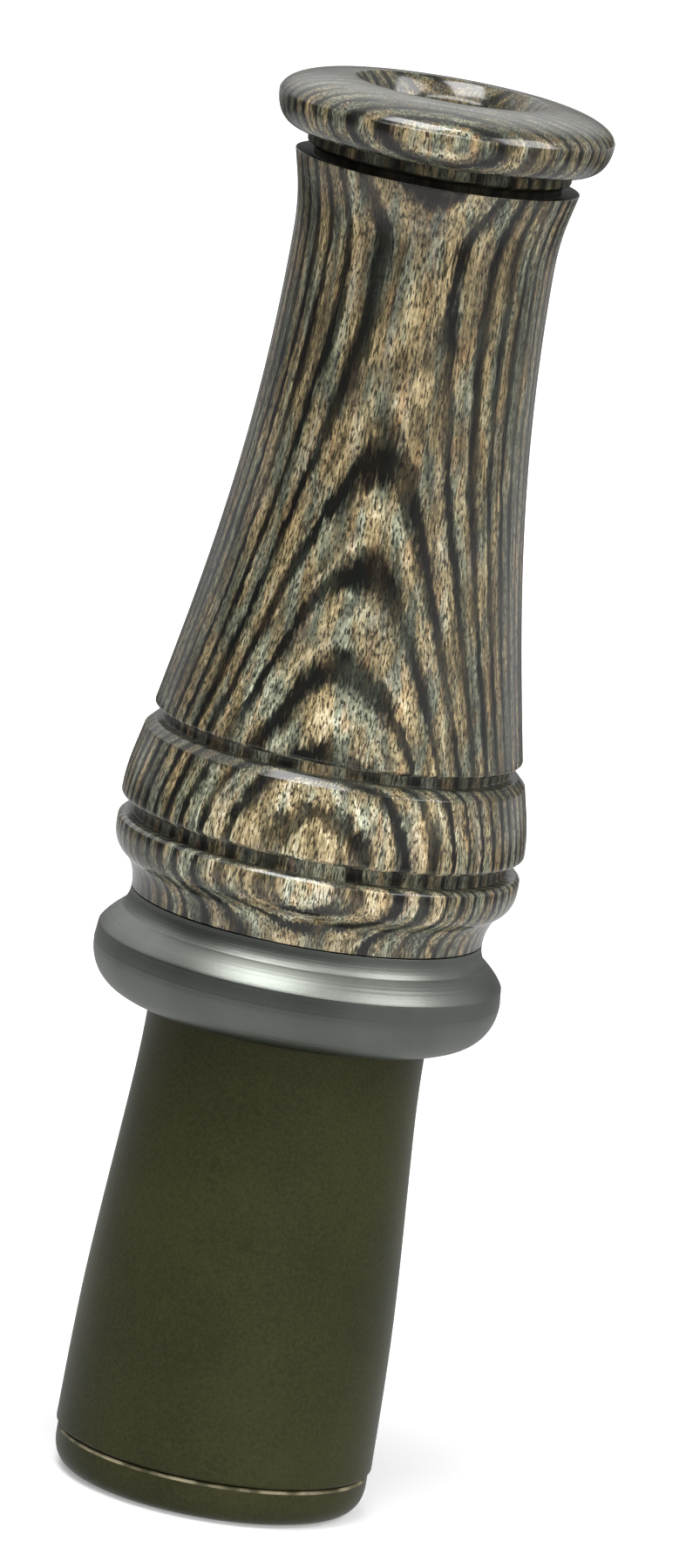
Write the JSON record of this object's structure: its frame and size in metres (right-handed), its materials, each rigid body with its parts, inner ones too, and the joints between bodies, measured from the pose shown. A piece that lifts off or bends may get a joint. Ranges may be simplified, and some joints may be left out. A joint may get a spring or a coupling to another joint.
{
  "type": "predator call",
  "caption": "Hand-held closed-reed predator call: flared laminated wood barrel with a bell rim and metal ring, on a dark mouth tube whose turning end cap picks the voice.",
  "frame": {"origin": "centre of the selector cap's flat end face, on the call's axis, the lowest point of the standing call", "axes": "+Z runs along the call's axis from the mouth end up to the bell; -Y faces the picture's camera and is the side of the low voice and the blow hole at rest; +X is to the camera's right"},
  "size_m": [0.038, 0.038, 0.1326],
  "materials": {
    "laminated_wood": "grey, brown and tan dyed veneers laminated together, turned and varnished satin",
    "ring_metal": "dark satin, turned",
    "tube_plastic": "dark olive brown, fine satin moulding",
    "carrier_plastic": "natural moulded plastic",
    "seal_rubber": "matt black rubber",
    "sleeve_brass": "plain drawn tube",
    "reed_film": "translucent polyester film"
  },
  "bodies": {
    "mouthpiece": {"mouth_tube": "tube_plastic", "reed_carrier": "carrier_plastic", "selector_seal": "seal_rubber", "voice_sleeve_low": "sleeve_brass", "tone_board_low": "carrier_plastic", "reed_wedge_low": "seal_rubber", "voice_sleeve_mid": "sleeve_brass", "tone_board_mid": "carrier_plastic", "reed_wedge_mid": "seal_rubber", "voice_sleeve_high": "sleeve_brass", "tone_board_high": "carrier_plastic", "reed_wedge_high": "seal_rubber"},
    "selector": {"selector_cap": "tube_plastic"},
    "o_rings": {"o_ring_lower": "seal_rubber", "o_ring_upper": "seal_rubber"},
    "barrel": {"barrel": "laminated_wood", "barrel_ring": "ring_metal"},
    "reed_low": {"reed_low": "reed_film"},
    "reed_mid": {"reed_mid": "reed_film"},
    "reed_high": {"reed_high": "reed_film"}
  },
  "joints": [
    {"name": "selector_turn", "type": "hinge", "parent": "mouthpiece", "child": "selector", "pos_m": [0, 0, 0.003], "axis": [0, 0, 1], "continuous": true},
    {"name": "barrel_twist", "type": "hinge", "parent": "mouthpiece", "child": "o_rings", "pos_m": [0, 0, 0.0456], "axis": [0, 0, 1], "continuous": true},
    {"name": "barrel_pull", "type": "slide", "parent": "o_rings", "child": "barrel", "axis": [0, 0, 1], "range_m": [0, 0.022]},
    {"name": "reed_flex_low", "type": "hinge", "parent": "mouthpiece", "child": "reed_low", "pos_m": [0, -0.00754, 0.0285], "axis": [1, 0, 0], "range_deg": [-1.5, 2], "stiffness_Nm_per_rad": 0.007},
    {"name": "reed_flex_mid", "type": "hinge", "parent": "mouthpiece", "child": "reed_mid", "pos_m": [0.00653, 0.00377, 0.0285], "axis": [-0.5, 0.866, 0], "range_deg": [-1.5, 2], "stiffness_Nm_per_rad": 0.007},
    {"name": "reed_flex_high", "type": "hinge", "parent": "mouthpiece", "child": "reed_high", "pos_m": [-0.00653, 0.00377, 0.0285], "axis": [-0.5, -0.866, 0], "range_deg": [-1.5, 2], "stiffness_Nm_per_rad": 0.007}
  ]
}
